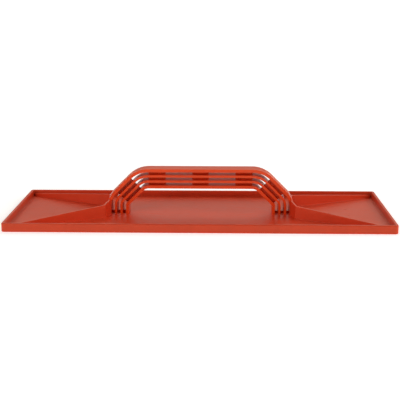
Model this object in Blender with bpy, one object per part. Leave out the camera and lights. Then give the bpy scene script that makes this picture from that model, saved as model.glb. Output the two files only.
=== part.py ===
"""Mortar hawk: a long rimmed board carried by a bridge handle of four nested bars.

The object is two plastic mouldings. The base plate has a flat working face underneath, a raised rim,
a stiffening rib from each corner and a short wall that closes each pair of ribs against a handle leg.
The handle is an arch of four nested bars joined by thin recessed webs, and its two feet sit in sockets
in the plate.

Axes: X along the board, Y across it, Z up. The origin is the middle of the working face.
"""

import math

import bmesh
import bpy

# ---- Plate, metres ----
PLATE_LENGTH = 0.480
PLATE_WIDTH = 0.180
FLOOR_TOP = 0.0030
RIM_TOP = 0.0110
RIM_WIDTH = 0.0040
RIM_DRAFT = 0.0005
CORNER_RADIUS = 0.0040
INNER_CORNER = 0.0012
SOLE_EDGE = 0.0012
RIM_EDGE = 0.0005
CORNER_STEPS = 6

# ---- Ribs and end walls, metres ----
WALL_HALF_TOP = 0.0012
WALL_HALF_FOOT = 0.0016
WALL_ROOT_Z = 0.0020
RIB_CORNER = (0.2365, 0.0860, 0.0065)
RIB_KNEE = (0.1216, 0.0302, 0.0194)
WALL_APEX = (0.1137, 0.0000, 0.0241)

# ---- Handle, metres ----
GRIP_TOP = 0.0626
GRIP_WIDTH = 0.0220
LEG_OUTER_X = 0.1203
DIAGONAL_SUM = 0.1451
LOWER_BEND = 0.0285
UPPER_BEND = 0.0369
BEND_STEPS = 6

# ---- Bars and slots: the crown flattens and the slots narrow from the legs to the grip, metres ----
OUTER_BAR_EDGE = 0.0040
INNER_BARS = (0.0029, 0.0029, 0.0037)
LEG_CROWN = 0.0012
GRIP_CROWN = 0.0006
LEG_SLOT = 0.0044
GRIP_SLOT = 0.0039
CROWN_STEPS = (-1.0, -0.6, 0.6, 1.0)

# ---- Webs in the slots, metres ----
WEB_HALF = 0.00125
FOOT_WEB = 0.0028
DIAGONAL_WEB_TOP = 0.0513
SIDE_WEB_INNER = 0.0450
CENTRE_WEB = 0.0106

# ---- Joint between the two mouldings, metres ----
GAP = 0.0003
SOCKET_Z = 0.0012
FOOT_Z = SOCKET_Z + GAP

LEG_ROOM_TOP = 0.0260

# ---- Looks, linear colours ----
PLATE_ORANGE = (0.560, 0.050, 0.022, 1.0)
HANDLE_ORANGE = (0.620, 0.055, 0.020, 1.0)
ROUGHNESS = 0.32

DIAGONAL = math.pi / 4.0
SMOOTH_ANGLE = math.radians(30.0)


def clear_scene():
    for obj in list(bpy.data.objects):
        bpy.data.objects.remove(obj, do_unlink=True)


def plastic(name, colour):
    material = bpy.data.materials.new(name)
    material.use_nodes = True
    shader = material.node_tree.nodes["Principled BSDF"]
    shader.inputs["Base Color"].default_value = colour
    shader.inputs["Roughness"].default_value = ROUGHNESS
    shader.inputs["Metallic"].default_value = 0.0
    material.diffuse_color = colour
    return material


def finish_object(name, mesh, material=None):
    obj = bpy.data.objects.new(name, mesh)
    bpy.context.scene.collection.objects.link(obj)
    if material is not None:
        mesh.materials.append(material)
    return obj


def mesh_from(name, points, faces):
    mesh = bpy.data.meshes.new(name)
    mesh.from_pydata(points, [], faces)
    bm = bmesh.new()
    bm.from_mesh(mesh)
    bmesh.ops.recalc_face_normals(bm, faces=bm.faces)
    bm.to_mesh(mesh)
    bm.free()
    mesh.update()
    return mesh


# ---- Base plate ----

def rounded_rectangle(half_x, half_y, radius, z):
    """Corner arcs joined by straight sides, anticlockwise, the same number of points for any size."""
    loop = []
    for quarter, (sx, sy) in enumerate(((1, 1), (-1, 1), (-1, -1), (1, -1))):
        for step in range(CORNER_STEPS + 1):
            angle = (quarter + step / CORNER_STEPS) * math.pi / 2.0
            x = sx * (half_x - radius) + radius * math.cos(angle)
            y = sy * (half_y - radius) + radius * math.sin(angle)
            loop.append((x, y, z))
    return loop


def tray_mesh():
    """The plate's floor and rim, as a stack of loops from the sole up, over the rim and down to the floor."""
    half_x = PLATE_LENGTH / 2.0
    half_y = PLATE_WIDTH / 2.0
    inner_top = RIM_WIDTH - RIM_EDGE
    inner_foot = RIM_WIDTH + RIM_DRAFT
    sole_bulge = SOLE_EDGE * (1.0 - math.sqrt(0.5))
    sections = (
        (SOLE_EDGE, 0.0),
        (sole_bulge, sole_bulge),
        (0.0, SOLE_EDGE),
        (0.0, RIM_TOP - RIM_EDGE),
        (RIM_EDGE, RIM_TOP),
        (inner_top, RIM_TOP),
        (RIM_WIDTH, RIM_TOP - RIM_EDGE),
        (inner_foot, FLOOR_TOP),
    )
    points = []
    for inset, z in sections:
        radius = max(CORNER_RADIUS - inset, INNER_CORNER)
        points += rounded_rectangle(half_x - inset, half_y - inset, radius, z)
    count = 4 * (CORNER_STEPS + 1)
    faces = [tuple(range(count))]
    for level in range(len(sections) - 1):
        for i in range(count):
            a = level * count + i
            b = level * count + (i + 1) % count
            faces.append((a, b, b + count, a + count))
    last = (len(sections) - 1) * count
    faces.append(tuple(range(last, last + count)))
    return mesh_from("base_plate", points, faces)


def offset_station(before, here, after, half):
    """The two sides of a wall of half thickness half, mitred where its centre line turns."""
    directions = []
    for start, end in ((before, here), (here, after)):
        if start is None or end is None:
            continue
        dx = end[0] - start[0]
        dy = end[1] - start[1]
        size = math.hypot(dx, dy)
        directions.append((dx / size, dy / size))
    dx = sum(d[0] for d in directions)
    dy = sum(d[1] for d in directions)
    size = math.hypot(dx, dy)
    normal = (-dy / size, dx / size)
    mitre = normal[0] * -directions[0][1] + normal[1] * directions[0][0]
    reach = half / mitre
    left = (here[0] + normal[0] * reach, here[1] + normal[1] * reach)
    right = (here[0] - normal[0] * reach, here[1] - normal[1] * reach)
    return left, right


def end_wall_mesh(side):
    """Rib, knee, apex, knee, rib: one drafted wall across an end of the plate, before the leg's room is cut."""
    line = [
        (side * RIB_CORNER[0], -RIB_CORNER[1], RIB_CORNER[2]),
        (side * RIB_KNEE[0], -RIB_KNEE[1], RIB_KNEE[2]),
        (side * WALL_APEX[0], WALL_APEX[1], WALL_APEX[2]),
        (side * RIB_KNEE[0], RIB_KNEE[1], RIB_KNEE[2]),
        (side * RIB_CORNER[0], RIB_CORNER[1], RIB_CORNER[2]),
    ]
    points = []
    for i, here in enumerate(line):
        before = line[i - 1] if i > 0 else None
        after = line[i + 1] if i + 1 < len(line) else None
        foot_left, foot_right = offset_station(before, here, after, WALL_HALF_FOOT)
        top_left, top_right = offset_station(before, here, after, WALL_HALF_TOP)
        points.append((*foot_left, WALL_ROOT_Z))
        points.append((*foot_right, WALL_ROOT_Z))
        points.append((*top_right, here[2]))
        points.append((*top_left, here[2]))
    faces = [(0, 1, 2, 3)]
    for i in range(len(line) - 1):
        for k in range(4):
            a = 4 * i + k
            b = 4 * i + (k + 1) % 4
            faces.append((a, b, b + 4, a + 4))
    last = 4 * (len(line) - 1)
    faces.append((last, last + 1, last + 2, last + 3))
    return mesh_from("end_wall", points, faces)


# ---- The handle's path: up one leg, over the grip and down the other ----

def bend_points(centre, radius, start, end, steps):
    points = []
    for step in range(steps + 1):
        angle = start + (end - start) * step / steps
        points.append((centre[0] + radius * math.cos(angle), centre[1] + radius * math.sin(angle), angle))
    return points


def half_path():
    """Stations from the foot to the middle of the grip: x, z on the outer line, and the outward angle."""
    reach = math.tan(DIAGONAL / 2)
    lower_centre = (LEG_OUTER_X - LOWER_BEND, DIAGONAL_SUM - LEG_OUTER_X - LOWER_BEND * reach)
    upper_centre = (DIAGONAL_SUM - GRIP_TOP - UPPER_BEND * reach, GRIP_TOP - UPPER_BEND)
    stations = [(LEG_OUTER_X, z, 0.0) for z in (FOOT_Z, FLOOR_TOP, FLOOR_TOP + FOOT_WEB)]
    stations += bend_points(lower_centre, LOWER_BEND, 0.0, DIAGONAL, BEND_STEPS)
    stations.append((DIAGONAL_SUM - DIAGONAL_WEB_TOP, DIAGONAL_WEB_TOP, DIAGONAL))
    stations += bend_points(upper_centre, UPPER_BEND, DIAGONAL, math.pi / 2, BEND_STEPS)
    stations += [(x, GRIP_TOP, math.pi / 2) for x in (SIDE_WEB_INNER, CENTRE_WEB)]
    return stations


def full_path():
    right = half_path()
    left = [(-x, z, math.pi - angle) for x, z, angle in reversed(right)]
    return right + left


def blend(leg_value, grip_value, angle):
    """A value that changes evenly with the outward angle, from the legs (0 or pi) to the grip (pi / 2)."""
    towards_grip = min(angle, math.pi - angle) / (math.pi / 2)
    return leg_value + (grip_value - leg_value) * towards_grip


def bar_depths(angle):
    """Depths of the bars' two faces below the outer line, bar by bar from the outside in."""
    slot = blend(LEG_SLOT, GRIP_SLOT, angle)
    depths = [0.0, blend(LEG_CROWN, GRIP_CROWN, angle) + OUTER_BAR_EDGE]
    for thickness in INNER_BARS:
        depths.append(depths[-1] + slot)
        depths.append(depths[-1] + thickness)
    return depths


def web_cells(half_count):
    """Cells along the half path that carry webs: foot, diagonal, side of the grip and its middle."""
    diagonal = 3 + BEND_STEPS
    side = diagonal + BEND_STEPS + 2
    return (1, diagonal, side, half_count - 1)


def handle_mesh():
    """The arch as a block of cells: along the path, through the stack of bars and slots, and across Y."""
    stations = full_path()
    half = GRIP_WIDTH / 2.0
    crown_lines = [half * step for step in CROWN_STEPS]
    across = crown_lines[:2] + [-WEB_HALF, WEB_HALF] + crown_lines[2:]
    depths = [bar_depths(angle) for x, z, angle in stations]
    middle = len(across) // 2 - 1
    cells_along = len(stations) - 1
    cells_deep = len(depths[0]) - 1
    webbed = web_cells(len(stations) // 2)

    def solid(i, j, k):
        if not (0 <= i < cells_along and 0 <= j < cells_deep and 0 <= k < len(across) - 1):
            return False
        mirrored = min(i, cells_along - 1 - i)
        if j % 2 == 0 or mirrored == 0:
            return True
        return k == middle and mirrored in webbed

    bm = bmesh.new()
    corners = {}

    def corner(i, j, k):
        if (i, j, k) not in corners:
            x, z, angle = stations[i]
            depth = depths[i][j]
            if j == 0:
                depth += blend(LEG_CROWN, GRIP_CROWN, angle) * (across[k] / half) ** 2
            px = x - depth * math.cos(angle)
            pz = z - depth * math.sin(angle)
            corners[(i, j, k)] = bm.verts.new((px, across[k], pz))
        return corners[(i, j, k)]

    sides = (
        ((-1, 0, 0), ((0, 0, 0), (0, 1, 0), (0, 1, 1), (0, 0, 1))),
        ((1, 0, 0), ((1, 0, 0), (1, 0, 1), (1, 1, 1), (1, 1, 0))),
        ((0, -1, 0), ((0, 0, 0), (0, 0, 1), (1, 0, 1), (1, 0, 0))),
        ((0, 1, 0), ((0, 1, 0), (1, 1, 0), (1, 1, 1), (0, 1, 1))),
        ((0, 0, -1), ((0, 0, 0), (1, 0, 0), (1, 1, 0), (0, 1, 0))),
        ((0, 0, 1), ((0, 0, 1), (0, 1, 1), (1, 1, 1), (1, 0, 1))),
    )
    for i in range(cells_along):
        for j in range(cells_deep):
            for k in range(len(across) - 1):
                if not solid(i, j, k):
                    continue
                for step, ring in sides:
                    if solid(i + step[0], j + step[1], k + step[2]):
                        continue
                    bm.faces.new([corner(i + a, j + b, k + c) for a, b, c in ring])
    bmesh.ops.recalc_face_normals(bm, faces=bm.faces)
    mesh = bpy.data.meshes.new("handle")
    bm.to_mesh(mesh)
    bm.free()
    return mesh


def leg_room_mesh(side):
    """The box a handle leg needs in the plate: its foot's socket and the break in the end wall."""
    inner = side * (LEG_OUTER_X - bar_depths(0.0)[-1] - GAP)
    outer = side * (LEG_OUTER_X + GAP)
    half = GRIP_WIDTH / 2.0 + GAP
    ring = [(inner, -half), (outer, -half), (outer, half), (inner, half)]
    points = [(x, y, SOCKET_Z) for x, y in ring] + [(x, y, LEG_ROOM_TOP) for x, y in ring]
    faces = [(0, 1, 2, 3), (4, 5, 6, 7)]
    for i in range(4):
        j = (i + 1) % 4
        faces.append((i, j, j + 4, i + 4))
    return mesh_from("leg_room", points, faces)


def add_boolean(obj, name, mesh, operation):
    cutter = finish_object(name, mesh)
    cutter.hide_render = True
    cutter.display_type = "WIRE"
    modifier = obj.modifiers.new(name, "BOOLEAN")
    modifier.operation = operation
    modifier.solver = "EXACT"
    modifier.object = cutter


def build_base_plate():
    plate = finish_object("base_plate", tray_mesh(), plastic("plate_plastic", PLATE_ORANGE))
    for side, label in ((1, "right"), (-1, "left")):
        add_boolean(plate, "end_wall_" + label, end_wall_mesh(side), "UNION")
    for side, label in ((1, "right"), (-1, "left")):
        add_boolean(plate, "leg_room_" + label, leg_room_mesh(side), "DIFFERENCE")
    return plate


def build_handle():
    handle = finish_object("handle", handle_mesh(), plastic("handle_plastic", HANDLE_ORANGE))
    handle.data.shade_smooth()
    handle.data.set_sharp_from_angle(angle=SMOOTH_ANGLE)
    return handle


def main():
    clear_scene()
    build_base_plate()
    build_handle()


main()
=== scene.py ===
"""Looks of the mortar hawk: two orange plastic mouldings with moulded radii, fillets and surface finish.

The visual mouldings replace the CAD nodes one for one. Their outlines come from the CAD nodes' boxes, and
they add what a moulding has and the CAD leaves out: round edges, fillets at the foot of each wall, smooth
bends and crown, ejector marks and the fine finish of the plastic.
"""

import math

import bmesh
import bpy
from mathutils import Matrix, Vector


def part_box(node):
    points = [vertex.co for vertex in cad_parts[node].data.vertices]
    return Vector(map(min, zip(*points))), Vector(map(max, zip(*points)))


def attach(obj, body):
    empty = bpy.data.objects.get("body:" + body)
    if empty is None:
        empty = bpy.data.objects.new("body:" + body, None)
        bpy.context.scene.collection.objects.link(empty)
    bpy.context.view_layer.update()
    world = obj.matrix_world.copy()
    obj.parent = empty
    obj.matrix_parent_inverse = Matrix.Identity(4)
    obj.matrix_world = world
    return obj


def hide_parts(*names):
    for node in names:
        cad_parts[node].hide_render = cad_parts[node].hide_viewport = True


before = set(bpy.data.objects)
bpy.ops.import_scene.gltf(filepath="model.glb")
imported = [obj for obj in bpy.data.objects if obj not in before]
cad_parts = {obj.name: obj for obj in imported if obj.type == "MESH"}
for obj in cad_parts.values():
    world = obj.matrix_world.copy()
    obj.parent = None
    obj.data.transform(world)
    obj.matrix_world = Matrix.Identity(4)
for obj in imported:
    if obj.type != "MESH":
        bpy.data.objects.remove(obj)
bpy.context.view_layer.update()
plate_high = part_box("base_plate")[1]
handle_low, handle_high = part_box("handle")

# ---- Plate, metres ----
HALF_LENGTH = plate_high.x
HALF_WIDTH = plate_high.y
FLOOR_TOP = 0.0030
RIM_TOP = 0.0110
RIM_WIDTH = 0.0040
RIM_DRAFT = 0.0005
CORNER_RADIUS = 0.0040
INNER_CORNER = 0.0012
SOLE_EDGE = 0.0012
RIM_EDGE = 0.0010
FLOOR_FILLET = 0.0006
CORNER_STEPS = 10
EDGE_STEPS = 4

# ---- Ribs and end walls, metres ----
WALL_HALF_TOP = 0.0012
WALL_HALF_FOOT = 0.0016
WALL_EDGE = 0.0005
WALL_SINK = 0.00003
WALL_ROOT_Z = 0.0020
RIB_CORNER = (HALF_LENGTH - 0.0035, HALF_WIDTH - 0.0040, 0.0065)
RIB_KNEE = (0.1216, 0.0302, 0.0194)
WALL_APEX = (0.1137, 0.0000, 0.0240)

# ---- Handle, metres ----
GRIP_TOP = handle_high.z
GRIP_WIDTH = handle_high.y - handle_low.y
LEG_OUTER_X = handle_high.x
FOOT_Z = handle_low.z
DIAGONAL_SUM = 0.1451
LOWER_BEND = 0.0285
UPPER_BEND = 0.0369
DIAGONAL_WEB_TOP = 0.0513
OUTER_BAR_EDGE = 0.0040
INNER_BARS = (0.0029, 0.0029, 0.0037)
LEG_CROWN = 0.0012
GRIP_CROWN = 0.0006
LEG_SLOT = 0.0044
GRIP_SLOT = 0.0039
CROWN_LINES = 5
WEB_HALF = 0.00125
FOOT_WEB = 0.0028
SIDE_WEB_INNER = 0.0450
CENTRE_WEB = 0.0106
BEND_STEPS = 18
BAR_EDGE = 0.00042
SEAM = 0.00012
LEG_ROOM_TOP = 0.0260

# ---- Ejector marks on the floor: places in one quarter, metres ----
EJECTOR_RADIUS = 0.0024
EJECTOR_DEPTH = 0.00012
EJECTOR_PLACES = ((0.0, 0.0560), (0.0700, 0.0560), (0.1900, 0.0150))

DIAGONAL = math.pi / 4.0
SHARP_ANGLE = math.radians(32.0)

# ---- Plastic ----
PLATE_COLOUR = (0.730, 0.053, 0.015)
HANDLE_COLOUR = (0.800, 0.055, 0.006)
SPECULAR = 0.39
SPECULAR_TINT = (1.0, 0.93, 0.64, 1.0)
ROUGHNESS = 0.34
CLOUD_SCALE = 22.0
MOTTLE_SCALE = 160.0
DIMPLE_SCALE = 520.0
GRAIN_SCALE = 2600.0
DIMPLE_DEPTH = 0.00006
GRAIN_DEPTH = 0.00002

# ---- Marks and painted shade on the plate: lengths in metres, the rest as shares of brightness or roughness ----
STREAK_CONTRAST = 0.30
STREAK_ROUGHNESS = 0.30
STREAK_NEAR = 0.016
STREAK_FAR = 0.090
OUTER_SIDE_SHADE = 0.23
# Painted shade in the crease at the foot of the rim's inner wall: its reach onto the floor, corner size and
# strength
CREASE_SHADE_REACH = 0.0045
CREASE_SHADE_CORNER = 0.0070
CREASE_SHADE_IN_CORNER = 0.65
CREASE_SHADE_ALONG_RIM = 0.28

# ---- White stage: its half size, and how much it glows near the object and behind the softboxes ----
STAGE_HALF = 40.0
STAGE_COLOUR = (0.95, 0.95, 0.95, 1.0)
STAGE_NEAR = 0.6
STAGE_FAR = 1.8
STAGE_GLOW_NEAR = 0.46
STAGE_GLOW_FAR = 1.10

# ---- Softboxes round the object: name, place and size in metres, power in watts, colour ----
WHITE = (1.0, 1.0, 1.0)
WARM = (1.0, 0.95, 0.80)
SOFTBOXES = (
    ("front_left", (-1.3, -1.3, 0.7), 1.4, 12.2, WHITE),
    ("front_right", (1.3, -1.3, 0.7), 1.4, 5.2, WHITE),
    ("front_high", (-0.7, -1.4, 1.3), 0.9, 4.5, WHITE),
    ("right", (1.6, -0.3, 0.9), 0.9, 11.0, WHITE),
    ("back_left", (-1.2, 1.6, 0.9), 1.2, 5.4, WARM),
    ("back_right", (1.2, 1.6, 0.9), 1.2, 8.0, WARM),
    ("back_high", (0.0, 1.4, 1.6), 1.4, 8.4, WARM),
    ("back", (0.0, 2.2, 1.00), 1.4, 2.6, WARM),
)
WORLD_STRENGTH = 0.08

# ---- Camera: direction in degrees, distance and target in metres, lens in millimetres ----
CAMERA_AZIMUTH = 1.26
CAMERA_ELEVATION = 14.86
CAMERA_DISTANCE = 1.1347
CAMERA_TARGET = (-0.0007, 0.0, 0.0192)
CAMERA_LENS = 78.20


# ---- Mesh helpers ----

def mesh_object(name, points, faces):
    mesh = bpy.data.meshes.new(name)
    mesh.from_pydata(points, [], faces)
    bm = bmesh.new()
    bm.from_mesh(mesh)
    bmesh.ops.recalc_face_normals(bm, faces=bm.faces)
    bm.to_mesh(mesh)
    bm.free()
    return linked_object(name, mesh)


def linked_object(name, mesh):
    obj = bpy.data.objects.new(name, mesh)
    bpy.context.scene.collection.objects.link(obj)
    return obj


def arc(centre, radius, start_deg, end_deg, steps):
    points = []
    for step in range(steps + 1):
        angle = math.radians(start_deg + (end_deg - start_deg) * step / steps)
        points.append((centre[0] + radius * math.cos(angle), centre[1] + radius * math.sin(angle)))
    return points


def prism(name, ring, low, high):
    """A closed upright block on a flat ring of points."""
    count = len(ring)
    points = [(x, y, low) for x, y in ring] + [(x, y, high) for x, y in ring]
    faces = [tuple(range(count)), tuple(range(count, 2 * count))]
    for i in range(count):
        j = (i + 1) % count
        faces.append((i, j, j + count, i + count))
    return mesh_object(name, points, faces)


def combine(obj, others, operation):
    """Boolean of obj with each of the others in turn, applied to obj's mesh; the others are removed."""
    for other in others:
        modifier = obj.modifiers.new(other.name, "BOOLEAN")
        modifier.operation = operation
        modifier.solver = "EXACT"
        modifier.object = other
    depsgraph = bpy.context.evaluated_depsgraph_get()
    mesh = bpy.data.meshes.new_from_object(obj.evaluated_get(depsgraph))
    obj.modifiers.clear()
    obj.data = mesh
    for other in others:
        bpy.data.objects.remove(other)


# ---- Plate ----

def rounded_rectangle(half_x, half_y, radius, z):
    loop = []
    for quarter, (sx, sy) in enumerate(((1, 1), (-1, 1), (-1, -1), (1, -1))):
        centre = (sx * (half_x - radius), sy * (half_y - radius))
        start = 90.0 * quarter
        loop += [(x, y, z) for x, y in arc(centre, radius, start, start + 90.0, CORNER_STEPS)]
    return loop


def rim_sections():
    """Inset from the outline and height: round the sole's edge, over the rim and down to the floor."""
    inner_foot = RIM_WIDTH + RIM_DRAFT
    sections = arc((SOLE_EDGE, SOLE_EDGE), SOLE_EDGE, 270, 180, EDGE_STEPS)
    sections += arc((RIM_EDGE, RIM_TOP - RIM_EDGE), RIM_EDGE, 180, 90, EDGE_STEPS)
    sections += arc((RIM_WIDTH - RIM_EDGE, RIM_TOP - RIM_EDGE), RIM_EDGE, 90, 0, EDGE_STEPS)
    sections += arc((inner_foot + FLOOR_FILLET, FLOOR_TOP + FLOOR_FILLET), FLOOR_FILLET, 180, 270, EDGE_STEPS)
    return sections


def tray():
    points = []
    sections = rim_sections()
    for inset, z in sections:
        radius = max(CORNER_RADIUS - inset, INNER_CORNER)
        points += rounded_rectangle(HALF_LENGTH - inset, HALF_WIDTH - inset, radius, z)
    count = 4 * (CORNER_STEPS + 1)
    faces = [tuple(range(count))]
    for level in range(len(sections) - 1):
        for i in range(count):
            a = level * count + i
            b = level * count + (i + 1) % count
            faces.append((a, b, b + count, a + count))
    last = (len(sections) - 1) * count
    faces.append(tuple(range(last, last + count)))
    return mesh_object("plate_moulding", points, faces)


def wall_section(height):
    """Offset from the wall's centre line and height: a flared foot, a drafted side and a rounded top."""
    root = (WALL_HALF_FOOT + FLOOR_FILLET, WALL_ROOT_Z)
    flare = arc((WALL_HALF_FOOT + FLOOR_FILLET, FLOOR_TOP + FLOOR_FILLET - WALL_SINK),
                FLOOR_FILLET, 270, 180, EDGE_STEPS)
    top = arc((WALL_HALF_TOP - WALL_EDGE, height - WALL_EDGE), WALL_EDGE, 0, 90, EDGE_STEPS)
    right = [root] + flare + top
    left = [(-offset, z) for offset, z in reversed(right)]
    return right + left


def wall_normal(line, i):
    """Sideways direction at a point of the wall's line, stretched so that the wall keeps its thickness."""
    spans = []
    for start, end in ((i - 1, i), (i, i + 1)):
        if start >= 0 and end < len(line):
            step = Vector(line[end][:2]) - Vector(line[start][:2])
            spans.append(step.normalized())
    mean = sum(spans, Vector((0.0, 0.0))).normalized()
    normal = Vector((-mean.y, mean.x))
    square = Vector((-spans[0].y, spans[0].x))
    return normal / normal.dot(square)


def end_wall(side):
    """Rib, wall behind the leg and rib: one strip that crosses the plate at one end."""
    half = (RIB_CORNER, RIB_KNEE, WALL_APEX)
    line = [(side * x, -y, z) for x, y, z in half]
    line += [(side * x, y, z) for x, y, z in reversed(half[:2])]
    points = []
    for i, (x, y, height) in enumerate(line):
        normal = wall_normal(line, i)
        for offset, z in wall_section(height):
            points.append((x + normal.x * offset, y + normal.y * offset, z))
    count = len(points) // len(line)
    faces = [tuple(range(count)), tuple(range(len(points) - count, len(points)))]
    for i in range(len(line) - 1):
        for k in range(count):
            a = i * count + k
            b = i * count + (k + 1) % count
            faces.append((a, b, b + count, a + count))
    return mesh_object("end_wall", points, faces)


def ejector_marks():
    """Shallow round witnesses of the ejector pins, one cutter each."""
    places = set()
    for x, y in EJECTOR_PLACES:
        for sx in (-1, 1):
            for sy in (-1, 1):
                places.add((sx * x + 0.0, sy * y + 0.0))
    marks = []
    for x, y in sorted(places):
        ring = arc((x, y), EJECTOR_RADIUS, 0, 360, 32)[:-1]
        marks.append(prism("ejector_mark", ring, FLOOR_TOP - EJECTOR_DEPTH, FLOOR_TOP + EJECTOR_DEPTH))
    return marks


def build_plate():
    plate = tray()
    combine(plate, [end_wall(1), end_wall(-1)], "UNION")
    combine(plate, [leg_room(1), leg_room(-1)] + ejector_marks(), "DIFFERENCE")
    plate.data.shade_smooth()
    plate.data.set_sharp_from_angle(angle=SHARP_ANGLE)
    weighted = plate.modifiers.new("even_shading", "WEIGHTED_NORMAL")
    weighted.keep_sharp = True
    return plate


# ---- Handle ----

def bend(centre, radius, start_deg, end_deg):
    points = arc(centre, radius, start_deg, end_deg, BEND_STEPS)
    stations = []
    for step, (x, z) in enumerate(points):
        stations.append((x, z, math.radians(start_deg + (end_deg - start_deg) * step / BEND_STEPS)))
    return stations


def half_path():
    """Stations from the foot to the middle of the grip: x, z on the outer line, and the outward angle."""
    reach = math.tan(DIAGONAL / 2)
    lower_centre = (LEG_OUTER_X - LOWER_BEND, DIAGONAL_SUM - LEG_OUTER_X - LOWER_BEND * reach)
    upper_centre = (DIAGONAL_SUM - GRIP_TOP - UPPER_BEND * reach, GRIP_TOP - UPPER_BEND)
    stations = [(LEG_OUTER_X, z, 0.0) for z in (FOOT_Z, FLOOR_TOP, FLOOR_TOP + FOOT_WEB)]
    stations += bend(lower_centre, LOWER_BEND, 0.0, 45.0)
    stations.append((DIAGONAL_SUM - DIAGONAL_WEB_TOP, DIAGONAL_WEB_TOP, DIAGONAL))
    stations += bend(upper_centre, UPPER_BEND, 45.0, 90.0)
    stations += [(x, GRIP_TOP, math.pi / 2) for x in (SIDE_WEB_INNER, CENTRE_WEB)]
    return stations


def blend(leg_value, grip_value, angle):
    """A value that changes evenly with the outward angle, from the legs (0 or pi) to the grip (pi / 2)."""
    towards_grip = min(angle, math.pi - angle) / (math.pi / 2)
    return leg_value + (grip_value - leg_value) * towards_grip


def bar_depths(angle):
    """Depths of the bars' two faces below the outer line, bar by bar from the outside in."""
    slot = blend(LEG_SLOT, GRIP_SLOT, angle)
    depths = [0.0, blend(LEG_CROWN, GRIP_CROWN, angle) + OUTER_BAR_EDGE]
    for thickness in INNER_BARS:
        depths.append(depths[-1] + slot)
        depths.append(depths[-1] + thickness)
    return depths


def handle_point(station, level, y):
    """A point on one face of one bar; the outermost face is crowned across Y."""
    x, z, angle = station
    depth = bar_depths(angle)[level]
    if level == 0:
        depth += blend(LEG_CROWN, GRIP_CROWN, angle) * (2.0 * y / GRIP_WIDTH) ** 2
    return (x - depth * math.cos(angle), y, z - depth * math.sin(angle))


def cell_block(name, stations, levels, across, is_solid):
    """A closed mesh of the solid cells of a block: along the path, through the bars and across Y."""
    bm = bmesh.new()
    corners = {}
    sizes = (len(stations) - 1, levels - 1, len(across) - 1)

    def solid(cell):
        return all(0 <= c < size for c, size in zip(cell, sizes)) and is_solid(*cell)

    def corner(i, j, k):
        if (i, j, k) not in corners:
            corners[(i, j, k)] = bm.verts.new(handle_point(stations[i], j, across[k]))
        return corners[(i, j, k)]

    for i in range(sizes[0]):
        for j in range(sizes[1]):
            for k in range(sizes[2]):
                if not solid((i, j, k)):
                    continue
                for axis in range(3):
                    for end in (0, 1):
                        beside = [i, j, k]
                        beside[axis] += 2 * end - 1
                        if solid(beside):
                            continue
                        ring = []
                        for u, v in ((0, 0), (1, 0), (1, 1), (0, 1)):
                            at = [i, j, k]
                            at[axis] += end
                            at[(axis + 1) % 3] += u
                            at[(axis + 2) % 3] += v
                            ring.append(corner(*at))
                        bm.faces.new(ring)
    bmesh.ops.recalc_face_normals(bm, faces=bm.faces)
    mesh = bpy.data.meshes.new(name)
    bm.to_mesh(mesh)
    bm.free()
    return linked_object(name, mesh)


def crown_lines(half, inner):
    """Positions across the grip: closely spaced outside the web, so that the crown is smooth."""
    outside = [inner + (half - inner) * step / CROWN_LINES for step in range(CROWN_LINES + 1)]
    return [-y for y in reversed(outside)] + outside


def build_handle():
    right = half_path()
    stations = right + [(-x, z, math.pi - angle) for x, z, angle in reversed(right)]
    levels = len(bar_depths(0.0))
    across = crown_lines(GRIP_WIDTH / 2.0, WEB_HALF)
    cells_along = len(stations) - 1
    diagonal = 3 + BEND_STEPS
    side_web = diagonal + BEND_STEPS + 2
    web_cells = (1, diagonal, side_web, len(right) - 1)

    def is_solid(i, j, k):
        mirrored = min(i, cells_along - 1 - i)
        in_bar = j % 2 == 0 or mirrored == 0
        return in_bar or (k == CROWN_LINES and mirrored in web_cells)

    handle = cell_block("handle_moulding", stations, levels, across, is_solid)
    handle.data.shade_smooth()
    handle.data.set_sharp_from_angle(angle=SHARP_ANGLE)
    edges = handle.modifiers.new("moulded_edges", "BEVEL")
    edges.width = BAR_EDGE
    edges.segments = 3
    edges.limit_method = "ANGLE"
    edges.angle_limit = SHARP_ANGLE
    edges.harden_normals = True
    return handle


def leg_room(side):
    """The box of one leg, with the seam round it: it cuts the foot socket and the break in the end wall."""
    inner = side * (LEG_OUTER_X - bar_depths(0.0)[-1] - SEAM)
    outer = side * (LEG_OUTER_X + SEAM)
    half = GRIP_WIDTH / 2.0 + SEAM
    ring = [(inner, -half), (outer, -half), (outer, half), (inner, half)]
    return prism("leg_room", ring, FOOT_Z - SEAM, LEG_ROOM_TOP)


# ---- Moulded plastic ----

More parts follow.
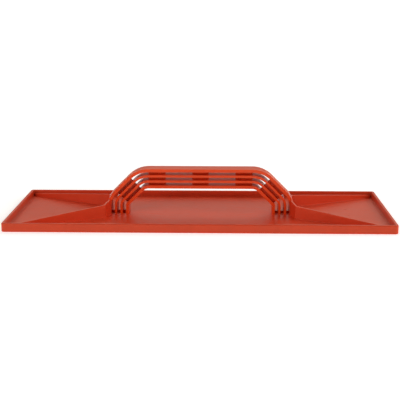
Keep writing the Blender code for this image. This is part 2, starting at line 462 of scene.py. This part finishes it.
class Nodes:
    """Short names for adding nodes to one material."""

    def __init__(self, name):
        self.material = bpy.data.materials.new(name)
        self.material.use_nodes = True
        self.tree = self.material.node_tree
        self.shader = self.tree.nodes["Principled BSDF"]

    def add(self, kind, **settings):
        node = self.tree.nodes.new(kind)
        for key, value in settings.items():
            setattr(node, key, value)
        return node

    def link(self, source, target):
        self.tree.links.new(source, target)

    def value(self, target, source):
        """Sets a socket to a number or links it to another socket."""
        if isinstance(source, bpy.types.NodeSocket):
            self.link(source, target)
        else:
            target.default_value = source

    def math(self, operation, *inputs):
        node = self.add("ShaderNodeMath", operation=operation)
        for socket, source in zip(node.inputs, inputs):
            self.value(socket, source)
        return node.outputs[0]

    def axes(self, vector):
        """The x, y and z sockets of a vector."""
        split = self.add("ShaderNodeSeparateXYZ")
        self.link(vector, split.inputs[0])
        return split.outputs

    def length(self, a, b):
        return self.math("SQRT", self.math("ADD", self.math("MULTIPLY", a, a), self.math("MULTIPLY", b, b)))

    def noise(self, vector, scale, detail=3.0, roughness=0.5):
        node = self.add("ShaderNodeTexNoise")
        self.link(vector, node.inputs["Vector"])
        node.inputs["Scale"].default_value = scale
        node.inputs["Detail"].default_value = detail
        node.inputs["Roughness"].default_value = roughness
        return node.outputs["Fac"]

    def ranged(self, source, low, high, to_low, to_high):
        node = self.add("ShaderNodeMapRange")
        node.clamp = True
        for socket, item in zip(node.inputs, (source, low, high, to_low, to_high)):
            self.value(socket, item)
        return node.outputs["Result"]

    def shaded(self, colour, factor):
        """The colour with its brightness scaled by a socket."""
        node = self.add("ShaderNodeVectorMath", operation="SCALE")
        node.inputs[0].default_value = colour
        self.link(factor, node.inputs["Scale"])
        return node.outputs[0]

    def bump(self, height, strength, distance, normal=None):
        node = self.add("ShaderNodeBump")
        node.inputs["Strength"].default_value = strength
        node.inputs["Distance"].default_value = distance
        self.link(height, node.inputs["Height"])
        if normal is not None:
            self.link(normal, node.inputs["Normal"])
        return node.outputs["Normal"]


def moulded_plastic(name, colour, is_plate):
    """Orange plastic with a mottled finish; the plate also has streaks, painted shade where the rim's inner
    wall meets the floor, and a darker outer side.
    """
    nodes = Nodes(name)
    nodes.shader.inputs["Specular IOR Level"].default_value = SPECULAR
    nodes.shader.inputs["Specular Tint"].default_value = SPECULAR_TINT
    place = nodes.add("ShaderNodeTexCoord").outputs["Object"]
    cloudy = nodes.noise(place, CLOUD_SCALE, 4.0)
    mottled = nodes.noise(place, MOTTLE_SCALE, 5.0, 0.6)
    grain = nodes.noise(place, GRAIN_SCALE, 2.0)
    dimples = nodes.noise(place, DIMPLE_SCALE, 3.0)
    brightness = nodes.math("ADD", nodes.ranged(cloudy, 0.3, 0.7, 0.955, 1.03),
                            nodes.ranged(mottled, 0.3, 0.7, -0.022, 0.022))
    rough = nodes.math("ADD", nodes.ranged(mottled, 0.3, 0.7, ROUGHNESS - 0.03, ROUGHNESS + 0.03),
                       nodes.ranged(grain, 0.3, 0.7, -0.015, 0.015))
    if is_plate:
        x, y, z = nodes.axes(place)
        streaks = flow_streaks(nodes, x, y, z)
        brightness = nodes.math("ADD", brightness, nodes.math("MULTIPLY", streaks, STREAK_CONTRAST))
        # Painted shade: darker where the rim's inner wall meets the floor
        brightness = nodes.math("SUBTRACT", brightness, crease_painted_shade(nodes, x, y, z))
        brightness = nodes.math("SUBTRACT", brightness, outer_side_shade(nodes, x, y))
        rough = nodes.math("ADD", rough, nodes.math("MULTIPLY", streaks, STREAK_ROUGHNESS))
    nodes.link(nodes.shaded(colour, brightness), nodes.shader.inputs["Base Color"])
    nodes.link(rough, nodes.shader.inputs["Roughness"])
    normal = nodes.bump(dimples, 0.18, DIMPLE_DEPTH)
    nodes.link(nodes.bump(grain, 0.15, GRAIN_DEPTH, normal), nodes.shader.inputs["Normal"])
    return nodes.material


def flow_streaks(nodes, x, y, z):
    """Faint streaks on the floor that fan out from each leg, as the plastic flowed, from -0.5 to 0.5."""
    leg_x = LEG_OUTER_X - bar_depths(0.0)[-1] / 2.0
    along = nodes.math("SUBTRACT", nodes.math("ABSOLUTE", x), leg_x)
    reach = nodes.length(along, y)
    angle = nodes.math("ARCTAN2", y, along)
    polar = nodes.add("ShaderNodeCombineXYZ")
    nodes.link(nodes.math("MULTIPLY", angle, 7.0), polar.inputs["X"])
    nodes.link(nodes.math("MULTIPLY", reach, 18.0), polar.inputs["Y"])
    pattern = nodes.math("SUBTRACT", nodes.noise(polar.outputs[0], 1.6, 3.0), 0.5)
    near = nodes.ranged(reach, STREAK_NEAR, STREAK_FAR, 1.0, 0.15)
    on_floor = nodes.ranged(z, FLOOR_TOP + 0.0002, FLOOR_TOP + 0.0008, 1.0, 0.0)
    return nodes.math("MULTIPLY", nodes.math("MULTIPLY", pattern, near), on_floor)


def outer_side_shade(nodes, x, y):
    """Darkens the rim's outer side, to make up for the light that the white stage throws on it."""
    from_end = nodes.math("SUBTRACT", HALF_LENGTH, nodes.math("ABSOLUTE", x))
    from_side = nodes.math("SUBTRACT", HALF_WIDTH, nodes.math("ABSOLUTE", y))
    depth = nodes.math("MINIMUM", from_end, from_side)
    return nodes.ranged(depth, 0.0002, RIM_EDGE, OUTER_SIDE_SHADE, 0.0)


def crease_painted_shade(nodes, x, y, z):
    """Painted shade where the rim's inner wall meets the floor, darkest in the plate's corners."""
    foot = RIM_WIDTH + RIM_DRAFT
    from_end = nodes.math("SUBTRACT", HALF_LENGTH - foot, nodes.math("ABSOLUTE", x))
    from_side = nodes.math("SUBTRACT", HALF_WIDTH - foot, nodes.math("ABSOLUTE", y))
    distance = nodes.math("MINIMUM", from_end, from_side)
    on_floor = nodes.ranged(distance, 0.0, CREASE_SHADE_REACH, 1.0, 0.0)
    on_wall = nodes.ranged(distance, -0.0016, -0.0008, 0.0, 1.0)
    low = nodes.ranged(z, RIM_TOP - 0.0060, RIM_TOP - 0.0010, 1.0, 0.3)
    from_corner = nodes.math("MAXIMUM", from_end, from_side)
    thickness = nodes.ranged(from_corner, 0.0, CREASE_SHADE_CORNER, CREASE_SHADE_IN_CORNER, CREASE_SHADE_ALONG_RIM)
    crease_shade = nodes.math("MULTIPLY", nodes.math("MULTIPLY", on_floor, on_wall), low)
    return nodes.math("MULTIPLY", crease_shade, thickness)


# ---- Studio ----

def build_stage():
    """A plain white floor. It glows enough to read white, also where the softboxes don't reach."""
    half = STAGE_HALF
    points = [(-half, -half, 0.0), (half, -half, 0.0), (half, half, 0.0), (-half, half, 0.0)]
    stage = mesh_object("studio_floor", points, [(0, 1, 2, 3)])
    nodes = Nodes("pale_floor")
    nodes.shader.inputs["Base Color"].default_value = STAGE_COLOUR
    nodes.shader.inputs["Roughness"].default_value = 0.9
    nodes.shader.inputs["Specular IOR Level"].default_value = 0.0
    nodes.shader.inputs["Emission Color"].default_value = (1.0, 1.0, 1.0, 1.0)
    x, y = nodes.axes(nodes.add("ShaderNodeTexCoord").outputs["Object"])[:2]
    glow = nodes.ranged(nodes.length(x, y), STAGE_NEAR, STAGE_FAR, STAGE_GLOW_NEAR, STAGE_GLOW_FAR)
    nodes.link(glow, nodes.shader.inputs["Emission Strength"])
    stage.data.materials.append(nodes.material)


def softbox(name, place, size, power, colour):
    light = bpy.data.lights.new(name, "AREA")
    light.shape = "SQUARE"
    light.size = size
    light.energy = power
    light.color = colour
    lamp = bpy.data.objects.new(name, light)
    bpy.context.scene.collection.objects.link(lamp)
    lamp.location = place
    lamp.rotation_euler = (-Vector(place)).to_track_quat("-Z", "Y").to_euler()


def build_lights():
    world = bpy.data.worlds.new("studio")
    bpy.context.scene.world = world
    world.use_nodes = True
    background = world.node_tree.nodes["Background"]
    background.inputs["Color"].default_value = (1.0, 1.0, 1.0, 1.0)
    background.inputs["Strength"].default_value = WORLD_STRENGTH
    for settings in SOFTBOXES:
        softbox(*settings)


def build_camera():
    azimuth = math.radians(CAMERA_AZIMUTH)
    elevation = math.radians(CAMERA_ELEVATION)
    target = Vector(CAMERA_TARGET)
    place = CAMERA_DISTANCE * Vector((math.sin(azimuth) * math.cos(elevation),
                                      -math.cos(azimuth) * math.cos(elevation),
                                      math.sin(elevation)))
    data = bpy.data.cameras.new("camera")
    data.sensor_width = 36.0
    data.lens = CAMERA_LENS
    camera = bpy.data.objects.new("camera", data)
    bpy.context.scene.collection.objects.link(camera)
    camera.location = place
    camera.rotation_euler = (target - place).to_track_quat("-Z", "Y").to_euler()
    bpy.context.scene.camera = camera


def place_piece(piece, node, material):
    piece.data.materials.append(material)
    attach(piece, "root")
    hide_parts(node)


build_camera()
build_stage()
build_lights()
plate_plastic = moulded_plastic("plate_plastic", PLATE_COLOUR, True)
handle_plastic = moulded_plastic("handle_plastic", HANDLE_COLOUR, False)
place_piece(build_plate(), "base_plate", plate_plastic)
place_piece(build_handle(), "handle", handle_plastic)
bpy.context.scene.view_settings.view_transform = "Standard"
